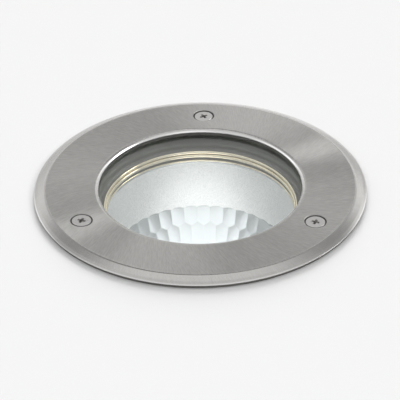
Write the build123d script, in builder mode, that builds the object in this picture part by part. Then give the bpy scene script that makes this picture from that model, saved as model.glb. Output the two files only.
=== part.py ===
from build123d import *
import math
import os

os.makedirs("parts", exist_ok=True)

# Driving dimensions, in millimetres. Height 0 is the ground that the trim ring lies on.
trim_r = 100.0  # outer radius of the trim ring
trim_top = 4.3  # height of its flat face
plate = 2.3  # thickness of its steel plate
edge = 0.3  # what the bevel leaves of the plate at the rim
bevel_width = 6.3
opening_r = 61.3
lip_round = 0.9
screw_circle_r = 79.0
screw_names = ("back", "left", "right")
first_screw_angle = 90  # the other two follow at thirds of a turn
screw_turns = (33, -22, -23)  # degrees that each cross recess was left at

glass_r = 70.0
glass_thickness = 8.0
lip_seal = 0.75  # thickness of the gasket above the glass
foot_seal = 0.6  # and below it

flange_r = 88.0  # the largest part of the body, which the hole in the ground takes
flange_top = -1.0
flange_thickness = 8.5
body_r = 62.0
body_wall = 3.8
floor_thickness = 4.0
body_bottom = -156.0

reflector_wall = 1.3
bowl_r = 55.2  # the facets touch an ellipse of these two radii
bowl_depth = 60.0
bowl_centre = -40.0
facets_around = 40
facet_rows = 4
first_facet_turn = 15.8  # degrees down the ellipse to the first row
facet_row_turn = 11.3  # and from row to row
collar_top_r = 57.0
collar_top = -21.4
collar_draft = 0.08  # the satin wall draws in this much for each millimetre down

bulb_r = 22.5
bulb_tip = -50.0
lamp_length = 80.0
cap_r = 13.2  # thread of an E27 lamp cap
cap_length = 25.5
lead_r = 1.1

# Room between pieces, and the screws' threads
lift_gap = 0.05  # under and over what lifts out
thread_room = 0.05  # round a fastener in its hole
clear_room = 0.2  # round a fastener, a lead or a board that passes through
m4_r = 2.0
m3_r = 1.5

# Heights and radii that follow from them
plate_bottom = trim_top - plate
crease_r = trim_r - bevel_width
gasket_top = plate_bottom - lift_gap
glass_top = gasket_top - lip_seal
glass_bottom = glass_top - glass_thickness
gasket_bottom = glass_bottom - foot_seal
pocket_floor = gasket_bottom - lift_gap
pocket_r = glass_r + 1.5
flange_low = flange_top - flange_thickness
inside_floor = body_bottom + floor_thickness
bore_r = body_r - body_wall


def turned(points, mode=Mode.ADD):
    """Turns a closed outline of (radius, height) points about the vertical axis."""
    with BuildSketch(Plane.XZ) as outline:
        with BuildLine():
            Polyline(*points, close=True)
        make_face()
    revolve(outline.sketch, axis=Axis.Z, mode=mode)


def post(radius, low, high, mode=Mode.ADD):
    """A round post or hole between two heights, at each of the locations in force."""
    with Locations((0, 0, low)):
        Cylinder(radius, high - low, align=(Align.CENTER, Align.CENTER, Align.MIN), mode=mode)


def finish(piece, name):
    """Names a piece and writes it."""
    piece.part.label = name
    export_step(piece.part, f"parts/{name}.step")


def screw_places():
    """The three places of the trim screws, round the ring."""
    return PolarLocations(screw_circle_r, len(screw_names), first_screw_angle)


# Trim ring: a flat steel plate with a bevelled rim, a rounded lip and three countersinks
sink_r = 7.0
sink_angle = 90
with BuildPart() as trim_ring:
    turned(
        [
            (opening_r, plate_bottom),
            (trim_r, plate_bottom),
            (trim_r, plate_bottom + edge),
            (crease_r, trim_top),
            (opening_r, trim_top),
        ]
    )
    lip = trim_ring.edges().filter_by(GeomType.CIRCLE).group_by(SortBy.RADIUS)[0]
    fillet(lip.sort_by(Axis.Z)[-1], lip_round)
    with Locations((0, 0, trim_top)):
        with screw_places():
            CounterSinkHole(sink_r - plate, sink_r, 2 * plate, counter_sink_angle=sink_angle)
finish(trim_ring, "trim_ring")

# Trim screws: M6 countersunk, with a tapered cross recess
head_r = 5.7
head_top = trim_top - 0.3
head_rim = 0.3
head_break = 0.1
screw_r = 3.0
screw_tip = -12.5
tip_chamfer = 0.7
recess_span = 5.6
recess_width = 1.5
recess_depth = 1.9
recess_taper = 12
cone_bottom = head_top - head_rim - (head_r - screw_r)
with BuildPart() as plain_screw:
    turned(
        [
            (0, screw_tip),
            (screw_r - tip_chamfer, screw_tip),
            (screw_r, screw_tip + tip_chamfer),
            (screw_r, cone_bottom),
            (head_r, head_top - head_rim),
            (head_r, head_top - head_break),
            (head_r - head_break, head_top),
            (0, head_top),
        ]
    )
    with BuildSketch(Plane.XY.offset(head_top)) as cross:
        Rectangle(recess_span, recess_width)
        Rectangle(recess_width, recess_span)
    extrude(cross.sketch, -recess_depth, taper=recess_taper, mode=Mode.SUBTRACT)
for place, turn, screw_name in zip(screw_places().local_locations, screw_turns, screw_names):
    with BuildPart() as trim_screw:
        with Locations(Location(place.position, (0, 0, turn))):
            add(plain_screw.part)
    finish(trim_screw, f"trim_screw_{screw_name}")

# Screw seals: thin cones that fill the gap between each head and its countersink
seal_inset = 0.1
seal_skin = 0.08
seal_low = plate_bottom + seal_inset
seal_high = head_top - seal_inset
head_cone = head_r - (head_top - head_rim) + seal_skin
sink_cone = sink_r - trim_top - seal_skin
with BuildPart() as one_seal:
    turned(
        [
            (seal_low + head_cone, seal_low),
            (seal_low + sink_cone, seal_low),
            (seal_high + sink_cone, seal_high),
            (seal_high + head_cone, seal_high),
        ]
    )
with BuildPart() as screw_seals:
    with screw_places():
        add(one_seal.part)
finish(screw_seals, "screw_seals")

# Ground seal: a soft strip under the rim, which meets the ground
ground_seal_r = 89.5
ground_seal_width = 9.9
with BuildPart() as ground_seal:
    post(ground_seal_r + ground_seal_width, 0, plate_bottom)
    post(ground_seal_r, 0, plate_bottom, Mode.SUBTRACT)
finish(ground_seal, "ground_seal")

# Flange gasket: a flat ring between the trim ring and the body's flange
flange_gasket_inset = 1.0
gasket_hole_r = 5.4
with BuildPart() as flange_gasket:
    post(flange_r - flange_gasket_inset, flange_top, gasket_top)
    post(pocket_r + flange_gasket_inset, flange_top, gasket_top, Mode.SUBTRACT)
    with screw_places():
        post(gasket_hole_r, flange_top, gasket_top, Mode.SUBTRACT)
finish(flange_gasket, "flange_gasket")

# Cover glass: a toughened disc with seamed edges
glass_seam = 0.6
with BuildPart() as cover_glass:
    post(glass_r, glass_bottom, glass_top)
    chamfer(cover_glass.edges().filter_by(GeomType.CIRCLE), glass_seam)
finish(cover_glass, "cover_glass")

# Glass gasket: a U-shaped ring round the edge of the glass
gasket_lip_r = 63.5
gasket_foot_r = 62.4
gasket_r = pocket_r - 0.3
groove_r = glass_r + lift_gap
with BuildPart() as glass_gasket:
    turned(
        [
            (gasket_foot_r, gasket_bottom),
            (gasket_r, gasket_bottom),
            (gasket_r, gasket_top),
            (gasket_lip_r, gasket_top),
            (gasket_lip_r, glass_top),
            (groove_r, glass_top),
            (groove_r, glass_bottom),
            (gasket_foot_r, glass_bottom),
        ]
    )
finish(glass_gasket, "glass_gasket")

# One cooling fin of the body, which is repeated round it
fin_count = 12
fin_r = 74.0
fin_thickness = 3.0
fin_top = -13.0
fin_bottom = -128.0
fin_straight = 58.0
fin_foot = 2.0
with BuildPart() as fin:
    with BuildSketch(Plane.XZ) as fin_outline:
        with BuildLine():
            Polyline(
                (body_r - fin_foot, fin_top),
                (fin_r, fin_top),
                (fin_r, fin_top - fin_straight),
                (body_r + fin_foot, fin_bottom),
                (body_r - fin_foot, fin_bottom),
                close=True,
            )
        make_face()
    extrude(fin_outline.sketch, fin_thickness / 2, both=True)

# Housing: a die-cast pot with a flange, screw bosses, cooling fins and a stepped bore
throat_r = 62.0
throat_bottom = -13.2
ledge_r = 59.4
ledge = -20.6
collar_r = pocket_r + 4
collar_low = throat_bottom - 2
shoulder = ledge - 5
floor_chamfer = 6.0
insert_r = 4.4
insert_top = flange_top - 0.1
insert_bottom = -13.5
insert_hole = insert_bottom - 1.5
boss_r = 7.2
boss_low = insert_bottom - 4
bracket_x = 33.0
bracket_low = -142.5
pillar_r = 4.5
pillar_thread = 9.0
earth_place = (38.0, 28.0)
earth_boss_r = 5.0
earth_boss_top = -147.0
earth_thread = 8.0
block_place = (5.5, 42.0)
block_thread = 3.0
pole_pitch = 11.0
gland_place = (0.0, -38.0)
gland_thread_r = 9.9
gland_hole_r = gland_thread_r + 0.1
with BuildPart() as housing:
    turned(
        [
            (0, body_bottom),
            (body_r - floor_chamfer, body_bottom),
            (body_r, body_bottom + floor_chamfer),
            (body_r, shoulder),
            (collar_r, collar_low),
            (collar_r, flange_low),
            (flange_r, flange_low),
            (flange_r, flange_top),
            (0, flange_top),
        ]
    )
    with PolarLocations(0, fin_count, first_screw_angle):
        add(fin.part)
    with screw_places():
        post(boss_r, boss_low, flange_low)
    turned(
        [
            (0, inside_floor),
            (bore_r, inside_floor),
            (bore_r, ledge),
            (ledge_r, ledge),
            (ledge_r, throat_bottom),
            (throat_r, throat_bottom),
            (throat_r, pocket_floor),
            (pocket_r, pocket_floor),
            (pocket_r, flange_top),
            (0, flange_top),
        ],
        Mode.SUBTRACT,
    )
    with Locations((bracket_x, 0), (-bracket_x, 0)):
        post(pillar_r, inside_floor, bracket_low)
        post(m4_r + thread_room, bracket_low - pillar_thread, bracket_low, Mode.SUBTRACT)
    with Locations(earth_place):
        post(earth_boss_r, inside_floor, earth_boss_top)
        post(m4_r + thread_room, earth_boss_top - earth_thread, earth_boss_top, Mode.SUBTRACT)
    with Locations(block_place):
        with GridLocations(pole_pitch, 0, 2, 1):
            post(m3_r + thread_room, inside_floor - block_thread, inside_floor, Mode.SUBTRACT)
    with Locations(gland_place):
        post(gland_hole_r, body_bottom, inside_floor, Mode.SUBTRACT)
    with screw_places():
        post(insert_r + thread_room, insert_hole, flange_top, Mode.SUBTRACT)
finish(housing, "housing")

# Thread inserts: brass bushes in the flange, which the trim screws turn in
with BuildPart() as thread_inserts:
    with screw_places():
        post(insert_r, insert_bottom, insert_top)
        post(screw_r + thread_room, insert_bottom, insert_top, Mode.SUBTRACT)
finish(thread_inserts, "thread_inserts")


def facet_plane(row):
    """A row's facets as lean_r * radius + lean_z * height = reach, where each one touches the ellipse."""
    turn = math.radians(first_facet_turn + facet_row_turn * row)
    lean_r = math.cos(turn) / bowl_r
    lean_z = -math.sin(turn) / bowl_depth
    return lean_r, lean_z, 1 + lean_z * bowl_centre


def seam_point(upper_row, angle):
    """Where a row meets the next one at an angle that is mid-facet in one row and a corner of the other."""
    half_facet = math.pi / facets_around
    sides = []
    for row in (upper_row, upper_row + 1):
        lean_r, lean_z, reach = facet_plane(row)
        off_centre = round(angle / half_facet) % 2 != row % 2
        sides.append((lean_r * math.cos(half_facet if off_centre else 0), lean_z, reach))
    (r1, z1, d1), (r2, z2, d2) = sides
    radius = (d1 * z2 - d2 * z1) / (r1 * z2 - r2 * z1)
    return radius, (d1 - r1 * radius) / z1


def corner_point(row, height):
    """The radius of a row's corners at a height."""
    lean_r, lean_z, reach = facet_plane(row)
    return (reach - lean_z * height) / (lean_r * math.cos(math.pi / facets_around)), height


# The faceted hollow of the reflector: flat facets in rows, each row half a facet round from the last
neck_turn = first_facet_turn + facet_row_turn * (facet_rows - 0.5)
neck = bowl_centre - bowl_depth * math.sin(math.radians(neck_turn))
hollow_top = -18.0
hollow_points = []
for step in range(2 * facets_around):
    angle = step * math.pi / facets_around
    rings = [seam_point(row, angle) for row in range(facet_rows - 1)]
    if step % 2 == 1:
        rings.append(corner_point(0, hollow_top))
    if step % 2 == facet_rows % 2:
        rings.append(corner_point(facet_rows - 1, neck))
    for radius, height in rings:
        hollow_points.append((radius * math.cos(angle), radius * math.sin(angle), height))


def collar_at(height):
    """Radius of the satin wall's inner face at a height."""
    return collar_top_r + collar_draft * (height - collar_top)


with BuildPart() as hollow:
    ConvexPolyhedron(hollow_points)
    turned(
        [
            (0, neck),
            (collar_at(neck), neck),
            (collar_at(hollow_top), hollow_top),
            (0, hollow_top),
        ],
        Mode.INTERSECT,
    )

# Reflector: a thin aluminium bowl with a flange, a rolled bead, a satin wall and facets
rim_flange_r = 59.2
rim_flange = 0.8
collar_wall = 1.0
bead_r = 1.0
bead_place = (57.5, ledge + bead_r)
neck_rim = 3.0
neck_step = 0.4
with BuildPart() as reflector:
    with BuildSketch(Plane.XZ) as shell_outline:
        with BuildLine():
            bowl = EllipticalCenterArc(
                (0, bowl_centre),
                bowl_r + reflector_wall,
                bowl_depth + reflector_wall,
                -neck_turn,
                arc_size=facet_row_turn * facet_rows,
            )
            Polyline(
                bowl @ 1,
                (collar_at(ledge) + collar_wall, ledge),
                (rim_flange_r, ledge),
                (rim_flange_r, ledge + rim_flange),
                (0, ledge + rim_flange),
                (0, neck - neck_rim),
                ((bowl @ 0).X, neck - neck_rim),
                bowl @ 0,
            )
        make_face()
    revolve(shell_outline.sketch, axis=Axis.Z)
    add(hollow.part, mode=Mode.SUBTRACT)
    post(corner_point(facet_rows - 1, neck)[0] - neck_step, neck - neck_rim, neck, Mode.SUBTRACT)
    with BuildSketch(Plane.XZ) as bead_outline:
        with Locations(bead_place):
            Circle(bead_r)
    revolve(bead_outline.sketch, axis=Axis.Z)
finish(reflector, "reflector")

# Retaining ring: a gold-coloured ring of two beads, sprung into the bore over the reflector's rim
ring_back_r = 59.3
upper_bead = (58.15, -15.45)
upper_bead_r = 1.15
lower_bead = (57.15, -17.25)
lower_bead_r = 1.0
ring_bottom = lower_bead[1] - lower_bead_r
with BuildPart() as retaining_ring:
    with BuildSketch(Plane.XZ) as ring_outline:
        with Locations(upper_bead):
            Circle(upper_bead_r)
        with Locations(lower_bead):
            Circle(lower_bead_r)
        with BuildLine():
            Polyline(
                upper_bead,
                lower_bead,
                (lower_bead[0], ring_bottom),
                (ring_back_r, ring_bottom),
                (ring_back_r, upper_bead[1]),
                close=True,
            )
        make_face()
    revolve(ring_outline.sketch, axis=Axis.Z)
finish(retaining_ring, "retaining_ring")

# Lamp bulb: an opal globe, open at its neck
bulb_centre = bulb_tip - bulb_r
bulb_wall = 1.0
bulb_neck = -91.0
with BuildPart() as lamp_bulb:
    with Locations((0, 0, bulb_centre)):
        Sphere(bulb_r)
        Sphere(bulb_r - bulb_wall, mode=Mode.SUBTRACT)
    post(bulb_r, bulb_centre - bulb_r, bulb_neck, Mode.SUBTRACT)
finish(lamp_bulb, "lamp_bulb")

# Lamp base: a plastic cup under the globe, with a spigot for the cap and a step for the board
lamp_tip = bulb_tip - lamp_length
cap_top = lamp_tip + cap_length
cap_wall = 0.5
board_r = 11.6
board_thickness = 1.6
board_seat = bulb_neck - board_thickness
board_pocket_r = board_r + clear_room
base_r = 14.6
base_rim = 3.0
base_low_r = cap_r + 0.1
spigot_r = cap_r - cap_wall - 0.1
spigot_length = 6.0
spigot_hole_r = 8.5
seat_hole_r = 9.5
with BuildPart() as lamp_base:
    turned(
        [
            (spigot_hole_r, cap_top - spigot_length),
            (spigot_r, cap_top - spigot_length),
            (spigot_r, cap_top),
            (base_low_r, cap_top),
            (base_r, bulb_neck - base_rim),
            (base_r, bulb_neck),
            (board_pocket_r, bulb_neck),
            (board_pocket_r, board_seat),
            (seat_hole_r, board_seat),
        ]
    )
finish(lamp_base, "lamp_base")

# Board: a round metal board with a ring of light-emitting chips
chip_count = 9
chip_circle_r = 7.5
chip_size = 2.8
chip_height = 0.7
with BuildPart() as led_board:
    post(board_r, board_seat, bulb_neck)
    with PolarLocations(chip_circle_r, chip_count):
        with Locations((0, 0, bulb_neck)):
            Box(chip_size, chip_size, chip_height, align=(Align.CENTER, Align.CENTER, Align.MIN))
finish(led_board, "led_board")

# Lamp cap: the threaded shell, the glass button in its end and the contact under that
button_top = lamp_tip + 5
button_low = lamp_tip + 2
button_r = 7.0
button_low_r = 4.8
cap_shoulder = lamp_tip + 7.5
cap_rim_r = button_r + 1
with BuildPart() as lamp_cap:
    turned(
        [
            (cap_r, cap_top),
            (cap_r, cap_shoulder),
            (cap_rim_r, button_top),
            (button_r, button_top),
            (button_r, button_top + cap_wall),
            (cap_r - cap_wall, cap_shoulder + cap_wall),
            (cap_r - cap_wall, cap_top),
        ]
    )
finish(lamp_cap, "lamp_cap")

with BuildPart() as lamp_insulator:
    turned(
        [
            (0, button_low),
            (button_low_r, button_low),
            (button_r - thread_room, button_top),
            (0, button_top),
        ]
    )
finish(lamp_insulator, "lamp_insulator")

contact_r = 4.6
contact_tip_r = 2.5
contact_rim = 0.8
with BuildPart() as lamp_contact:
    turned(
        [
            (0, lamp_tip),
            (contact_tip_r, lamp_tip),
            (contact_r, button_low - contact_rim),
            (contact_r, button_low),
            (0, button_low),
        ]
    )
finish(lamp_contact, "lamp_contact")

# Lampholder: a porcelain cup with a plain metal shell and a sprung contact in its floor
strip = 1.5
holder_r = 20.0
holder_bottom = bracket_low + strip
holder_top = -101.0
holder_neck_r = 18.0
holder_neck = holder_top - 10
holder_step = holder_top - 12
socket_r = 14.5
socket_floor = -133.0
wire_height = -137.0
wire_hole = 14.0
holder_screw_x = 9.0
holder_screw_top = socket_floor - 2.5
holder_screw_hole = socket_floor - 2
with BuildPart() as lampholder_body:
    turned(
        [
            (0, holder_bottom),
            (holder_r, holder_bottom),
            (holder_r, holder_step),
            (holder_neck_r, holder_neck),
            (holder_neck_r, holder_top),
            (socket_r, holder_top),
            (socket_r, socket_floor),
            (0, socket_floor),
        ]
    )
    with Locations((holder_screw_x, 0), (-holder_screw_x, 0)):
        post(m4_r + thread_room, holder_bottom, holder_screw_hole, Mode.SUBTRACT)
    with Locations((0, holder_r, wire_height)):
        with GridLocations(pole_pitch, 0, 2, 1):
            Cylinder(lead_r + clear_room, wire_hole, rotation=(90, 0, 0), mode=Mode.SUBTRACT)
finish(lampholder_body, "lampholder_body")

shell_r = cap_r + 0.5
shell_wall = 0.5
shell_inset = 2.0
with BuildPart() as lampholder_shell:
    post(shell_r + shell_wall, socket_floor + shell_inset, holder_top - shell_inset)
    post(shell_r, socket_floor + shell_inset, holder_top - shell_inset, Mode.SUBTRACT)
finish(lampholder_shell, "lampholder_shell")

leaf = 0.6
leaf_width = 7.0
leaf_back_x = -9.0
leaf_bend_x = 6.6
leaf_crotch_x = 4.6
leaf_end_x = -4.0
leaf_end = lamp_tip - 0.4
with BuildPart() as lampholder_contact:
    with BuildSketch(Plane.XZ) as leaf_outline:
        with BuildLine():
            Polyline(
                (leaf_back_x, socket_floor),
                (leaf_bend_x, socket_floor),
                (leaf_bend_x, socket_floor + leaf + clear_room),
                (leaf_end_x, leaf_end),
                (leaf_end_x, leaf_end - leaf),
                (leaf_crotch_x, socket_floor + leaf),
                (leaf_back_x, socket_floor + leaf),
                close=True,
            )
        make_face()
    extrude(leaf_outline.sketch, leaf_width / 2, both=True)
finish(lampholder_contact, "lampholder_contact")

# Bracket: a steel strip between two pillars of the housing, which carries the lampholder
strip_width = 22.0
strip_end = 5.0
with BuildPart() as lampholder_bracket:
    with BuildSketch(Plane.XY.offset(bracket_low)):
        RectangleRounded(2 * (bracket_x + strip_end), strip_width, strip_end)
        with Locations((bracket_x, 0), (-bracket_x, 0), (holder_screw_x, 0), (-holder_screw_x, 0)):
            Circle(m4_r + clear_room, mode=Mode.SUBTRACT)
    extrude(amount=strip)
finish(lampholder_bracket, "lampholder_bracket")


def pan_screw(radius, tip, seat):
    """A round-headed slotted screw from its tip to its seat, head up, or head down where the tip is higher."""
    head = 1.1 * radius
    top = seat + head if seat > tip else seat - head
    post(radius, min(tip, seat), max(tip, seat))
    post(1.75 * radius, min(seat, top), max(seat, top))
    with Locations((0, 0, top)):
        Box(4 * radius, 0.5 * radius, head, mode=Mode.SUBTRACT)


with BuildPart() as holder_screws:
    with Locations((holder_screw_x, 0), (-holder_screw_x, 0)):
        pan_screw(m4_r, holder_screw_top, bracket_low)
finish(holder_screws, "holder_screws")

bracket_screw_tip = bracket_low - 8
with BuildPart() as bracket_screws:
    with Locations((bracket_x, 0), (-bracket_x, 0)):
        pan_screw(m4_r, bracket_screw_tip, holder_bottom)
finish(bracket_screws, "bracket_screws")

# Terminal block: a plastic block of three poles, each a brass tube with two clamp screws
pole_count = 3
block_depth = 16.0
block_height = 14.0
block_top = inside_floor + block_height
tube_height = inside_floor + 7
tube_r = 2.6
tube_wall = 1.0
tube_length = 13.0
clamp_spacing = 8.0
clamp_r = 1.4
clamp_hole_r = 2.0
clamp_top = block_top - 2
clamp_slot = 0.6
block_screw_seat = block_top - 3
block_screw_tip = inside_floor - 2.5
with BuildPart() as terminal_block:
    with Locations((*block_place, inside_floor)):
        Box(
            pole_count * pole_pitch,
            block_depth,
            block_height,
            align=(Align.CENTER, Align.CENTER, Align.MIN),
        )
    with Locations((*block_place, tube_height)):
        with GridLocations(pole_pitch, 0, pole_count, 1):
            Cylinder(tube_r + thread_room, block_depth, rotation=(90, 0, 0), mode=Mode.SUBTRACT)
    with Locations(block_place):
        with GridLocations(pole_pitch, clamp_spacing, pole_count, 2):
            post(clamp_hole_r, tube_height, block_top, Mode.SUBTRACT)
        with GridLocations(pole_pitch, 0, pole_count - 1, 1):
            post(m3_r + clear_room, inside_floor, block_top, Mode.SUBTRACT)
            post(2 * m3_r + clear_room, block_screw_seat, block_top, Mode.SUBTRACT)
finish(terminal_block, "terminal_block")

with BuildPart() as terminal_tubes:
    with Locations((*block_place, tube_height)):
        with GridLocations(pole_pitch, 0, pole_count, 1):
            Cylinder(tube_r, tube_length, rotation=(90, 0, 0))
            Cylinder(tube_r - tube_wall, tube_length, rotation=(90, 0, 0), mode=Mode.SUBTRACT)
    with Locations(block_place):
        with GridLocations(pole_pitch, clamp_spacing, pole_count, 2):
            post(clamp_r + thread_room, tube_height, block_top, Mode.SUBTRACT)
finish(terminal_tubes, "terminal_tubes")

with BuildPart() as terminal_screws:
    with Locations(block_place):
        with GridLocations(pole_pitch, clamp_spacing, pole_count, 2):
            post(clamp_r, tube_height + lead_r + clear_room, clamp_top)
            with Locations((0, 0, clamp_top)):
                Box(4 * clamp_r, clamp_slot, clamp_r, mode=Mode.SUBTRACT)
finish(terminal_screws, "terminal_screws")

with BuildPart() as block_screws:
    with Locations(block_place):
        with GridLocations(pole_pitch, 0, pole_count - 1, 1):
            pan_screw(m3_r, block_screw_tip, block_screw_seat)
finish(block_screws, "block_screws")

# Inner leads: straight runs and round bends between the terminals, the lampholder and the earth tag
lead_start = block_place[1] - 4
lead_bend_y = 28.5
lead_bend = 3.5
holder_end = holder_r - 6
tag_end = 27.0
barrel_length = 5.0
barrel_lap = 4.0
lead_routes = {}
for pole, lead_name in enumerate(("live_lead", "neutral_lead", "earth_lead")):
    pole_x = block_place[0] + pole_pitch * (pole - 1)
    if lead_name == "earth_lead":
        corners = [(pole_x, earth_place[1], tube_height), (tag_end + barrel_lap, earth_place[1], tube_height)]
    else:
        corners = [
            (pole_x, lead_bend_y, tube_height),
            (pole_x, lead_bend_y, wire_height),
            (pole_x, holder_end, wire_height),
        ]
    lead_routes[lead_name] = [(pole_x, lead_start, tube_height)] + corners
for lead_name, route in lead_routes.items():
    with BuildPart() as lead:
        with BuildLine() as path:
            FilletPolyline(*route, radius=lead_bend)
        with BuildSketch(Plane(route[0], z_dir=(0, -1, 0))) as section:
            Circle(lead_r)
        sweep(section.sketch, path=path.line)
    finish(lead, lead_name)

# Earth tag: a crimped eye on the end of the earth lead, under the earth screw
tag = 0.8
eye_r = 4.5
tail_width = 3.0
barrel_r = 1.8
tail_x = tag_end + barrel_lap
barrel_plane = Plane((tag_end, earth_place[1], tube_height), z_dir=(1, 0, 0))
with BuildPart() as earth_tag:
    with BuildSketch(Plane.XY.offset(earth_boss_top)):
        with Locations(earth_place):
            Circle(eye_r)
        with Locations(((earth_place[0] + tail_x) / 2, earth_place[1])):
            Rectangle(earth_place[0] - tail_x, tail_width)
        with Locations(earth_place):
            Circle(m4_r + clear_room, mode=Mode.SUBTRACT)
    extrude(amount=tag)
    with BuildSketch(barrel_plane):
        Circle(barrel_r)
    extrude(amount=barrel_length)
    with BuildSketch(barrel_plane):
        Circle(lead_r + thread_room)
    extrude(amount=barrel_length, mode=Mode.SUBTRACT)
finish(earth_tag, "earth_tag")

earth_screw_tip = earth_boss_top - 7
with BuildPart() as earth_screw:
    with Locations(earth_place):
        pan_screw(m4_r, earth_screw_tip, earth_boss_top + tag)
finish(earth_screw, "earth_screw")

# Cable gland: a threaded body through the floor, its washer, lock nut, rubber seal and dome nut
washer = 1.5
washer_r = 12.4
hex_across = 24.0
hex_high = body_bottom - washer
hex_low = hex_high - 6
gland_inside = -145.0
gland_bore_r = 6.0
locknut = 5.0
compression_r = 9.5
compression_low = hex_low - 8.5
seal_r = 7.5
seal_high = hex_low - 0.6
seal_seat = hex_low - 0.5
cable_r = 4.25
nut_high = hex_low - 0.4
nut_face = compression_low - 1
nut_low = compression_low - 6
nut_face_r = 11.5
nut_low_r = 8.5
nut_hole_r = cable_r + 1.2


def hexagon(low, high):
    """A hexagonal prism on the gland's axis, between two heights."""
    with BuildSketch(Plane((*gland_place, low))) as flats:
        RegularPolygon(hex_across / 2, 6, major_radius=False)
    extrude(flats.sketch, high - low)


with BuildPart() as gland_body:
    hexagon(hex_low, hex_high)
    with Locations(gland_place):
        post(gland_thread_r, hex_high, gland_inside)
        post(compression_r, compression_low, hex_low)
        post(gland_bore_r, compression_low, gland_inside, Mode.SUBTRACT)
        post(seal_r + thread_room, compression_low, seal_seat, Mode.SUBTRACT)
finish(gland_body, "gland_body")

with BuildPart() as gland_washer:
    with Locations(gland_place):
        post(washer_r, hex_high, body_bottom)
        post(gland_hole_r, hex_high, body_bottom, Mode.SUBTRACT)
finish(gland_washer, "gland_washer")

with BuildPart() as gland_locknut:
    hexagon(inside_floor, inside_floor + locknut)
    with Locations(gland_place):
        post(gland_thread_r + thread_room, inside_floor, inside_floor + locknut, Mode.SUBTRACT)
finish(gland_locknut, "gland_locknut")

with BuildPart() as gland_seal:
    with Locations(gland_place):
        post(seal_r, compression_low, seal_high)
        post(cable_r, compression_low, seal_high, Mode.SUBTRACT)
finish(gland_seal, "gland_seal")

with BuildPart() as gland_nut:
    hexagon(nut_face, nut_high)
    with Locations((*gland_place, nut_low)):
        Cone(nut_low_r, nut_face_r, nut_face - nut_low, align=(Align.CENTER, Align.CENTER, Align.MIN))
    with Locations(gland_place):
        post(compression_r + clear_room, compression_low, hex_low, Mode.SUBTRACT)
        post(nut_hole_r, nut_low, compression_low, Mode.SUBTRACT)
finish(gland_nut, "gland_nut")
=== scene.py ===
import math
import bmesh
import bpy
import numpy as np
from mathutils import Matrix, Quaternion, Vector


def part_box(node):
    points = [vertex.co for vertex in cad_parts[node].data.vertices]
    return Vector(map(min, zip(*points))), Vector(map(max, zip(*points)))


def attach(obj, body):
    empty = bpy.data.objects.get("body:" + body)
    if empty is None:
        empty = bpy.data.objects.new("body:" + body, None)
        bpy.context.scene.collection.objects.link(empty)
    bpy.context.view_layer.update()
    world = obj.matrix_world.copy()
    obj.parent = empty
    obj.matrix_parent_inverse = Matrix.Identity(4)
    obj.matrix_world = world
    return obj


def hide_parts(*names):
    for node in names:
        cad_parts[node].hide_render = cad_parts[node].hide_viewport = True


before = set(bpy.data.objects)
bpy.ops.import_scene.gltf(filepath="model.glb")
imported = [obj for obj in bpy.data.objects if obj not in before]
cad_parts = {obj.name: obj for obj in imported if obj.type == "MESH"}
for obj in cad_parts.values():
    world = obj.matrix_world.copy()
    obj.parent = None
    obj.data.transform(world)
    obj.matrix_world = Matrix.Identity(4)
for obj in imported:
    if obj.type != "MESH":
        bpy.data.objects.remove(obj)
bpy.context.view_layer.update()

# Housing: the pot that is buried in the ground and carries everything else.
# Die-cast aluminium under a grey powder coat; flange, screw bosses and cooling fins are one casting
# with the wall, and every edge has the small round of a casting. Sizes are in millimetres.
MM = 0.001
SCREW_CIRCLE_R = 79.0
SCREW_TURNS = np.radians([90.0, 210.0, 330.0])
TURN_STEPS = 240
SECTOR_STEPS = 8
SIDE_STEPS = 20
HOLE_STEPS = 4 * SECTOR_STEPS + 2 * SIDE_STEPS
HOLE_RINGS = 7
SIDE_SHARE = 0.2
MERGE_DISTANCE = 0.002
FIN_ROWS = 25
FLARE_POINTS = 5
FIN_TIP_POINTS = 9
housing_low, housing_high = (np.array(corner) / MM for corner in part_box("housing"))
flange_r = housing_high[0]
flange_top = housing_high[2]
flange_thickness = 8.5
flange_low = flange_top - flange_thickness
body_bottom = housing_low[2]
body_r = 62.0
floor_round = 7.0
floor_thickness = 4.0
collar_r = 75.5
collar_low = -15.2
collar_round = 2.0
shoulder = -25.6
shoulder_round = 3.0
pocket_r = 71.5
pocket_floor = -7.45
throat_r = 62.0
throat_edge_r = 67.0
throat_edge_low = -10.4
throat_bottom = -15.0
throat_round = 2.0
ledge_r = 59.4
ledge = -20.6
bore_r = 58.2
inside_floor = body_bottom + floor_thickness
fin_count = 12
fin_r = 74.0
fin_foot_r = 64.6
fin_top = -13.0
fin_kink = -71.0
fin_bottom = -128.0
fin_half = 1.5
fin_flare = 1.2
flange_round = 0.8
flange_root = 1.5
flange_low_round = 1.0
pocket_round = 0.4
boss_r = 7.2
boss_low = -17.5
boss_round = 1.0
boss_root = 1.0
insert_hole_r = 4.45
insert_hole_low = -15.0
pillar_places = ((33.0, 0.0), (-33.0, 0.0), (38.0, 28.0))
pillar_sizes = ((4.5, -142.5), (4.5, -142.5), (5.0, -147.0))
pillar_round = 0.5
pillar_root = 1.0


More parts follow.
